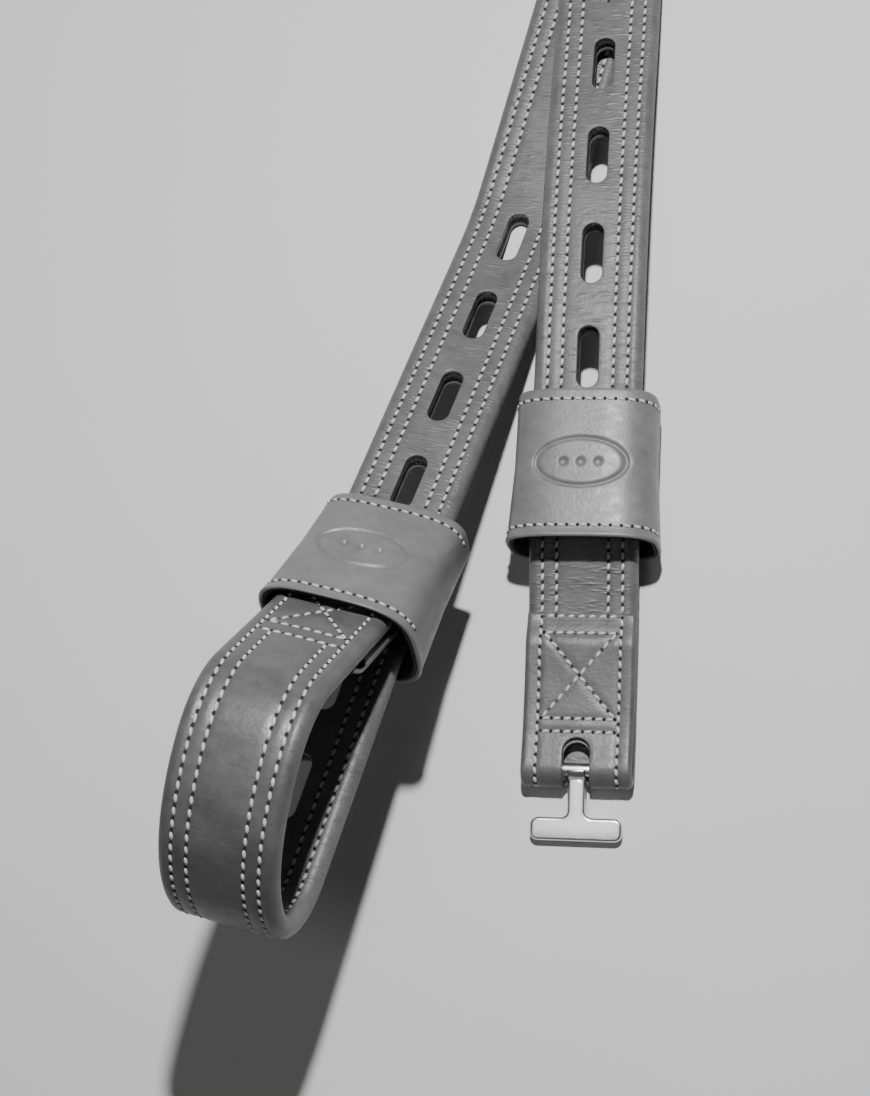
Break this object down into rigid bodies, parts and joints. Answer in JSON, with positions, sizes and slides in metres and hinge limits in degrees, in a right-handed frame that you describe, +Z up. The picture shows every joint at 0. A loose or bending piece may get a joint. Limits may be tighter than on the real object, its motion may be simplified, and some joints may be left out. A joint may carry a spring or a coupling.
{
  "type": "pair of stirrup leathers",
  "caption": "Pair of single-strap stirrup leathers with T-hooks, slots, top loops and sliding keepers; one is closed into a stirrup loop.",
  "frame": {"origin": "on the surface the pair lies on, where the two straps cross", "axes": "+Z up; +Y along the right leather towards its top loop; +X to the right"},
  "size_m": [0.1746, 0.858, 0.1075],
  "materials": {
    "leather_face": "satin, fine creases",
    "leather_back": "satin, fine pebble grain",
    "webbing": "matte woven",
    "keeper_leather": "satin, smooth",
    "keeper_inside": "matte flesh side",
    "thread": "waxed thread",
    "steel": "polished stainless"
  },
  "bodies": {
    "left_leather": {"left_strap_face": "leather_face", "left_strap_core": "webbing", "left_strap_back": "leather_back", "left_edge_rows": "thread", "left_inner_rows": "thread", "left_end_stitch": "thread", "left_loop_stitch": "thread", "left_top_face": "leather_face", "left_loop_face": "leather_face", "left_top_back": "leather_back", "left_loop_back": "leather_back"},
    "left_hook": {"left_hook": "steel"},
    "left_keeper": {"left_keeper": "keeper_leather", "left_keeper_lining": "keeper_inside", "left_keeper_stitch": "thread"},
    "right_leather": {"right_strap_face": "leather_face", "right_strap_core": "webbing", "right_strap_back": "leather_back", "right_edge_rows": "thread", "right_inner_rows": "thread", "right_end_stitch": "thread", "right_loop_stitch": "thread"},
    "right_hook": {"right_hook": "steel"},
    "right_keeper": {"right_keeper": "keeper_leather", "right_keeper_lining": "keeper_inside", "right_keeper_stitch": "thread"}
  },
  "joints": [
    {"name": "left_hook_swing", "type": "hinge", "parent": "left_leather", "child": "left_hook", "pos_m": [-0.04759, -0.21204, 0.0528], "axis": [-0.9757, 0.219, 0], "range_deg": [0, 5]},
    {"name": "left_keeper_slide", "type": "slide", "parent": "left_leather", "child": "left_keeper", "axis": [0.2058, 0.9169, -0.342], "range_m": [0, 0.024]},
    {"name": "right_leather_lift", "type": "slide", "parent": "left_leather", "child": "right_leather", "axis": [0, 0, 1], "range_m": [0, 0.08]},
    {"name": "right_hook_swing", "type": "hinge", "parent": "right_leather", "child": "right_hook", "pos_m": [0, -0.2466, 0.00455], "axis": [-1, 0, 0], "range_deg": [0, 95]},
    {"name": "right_keeper_slide", "type": "slide", "parent": "right_leather", "child": "right_keeper", "axis": [0, 1, 0], "range_m": [-0.012, 0.005]}
  ]
}
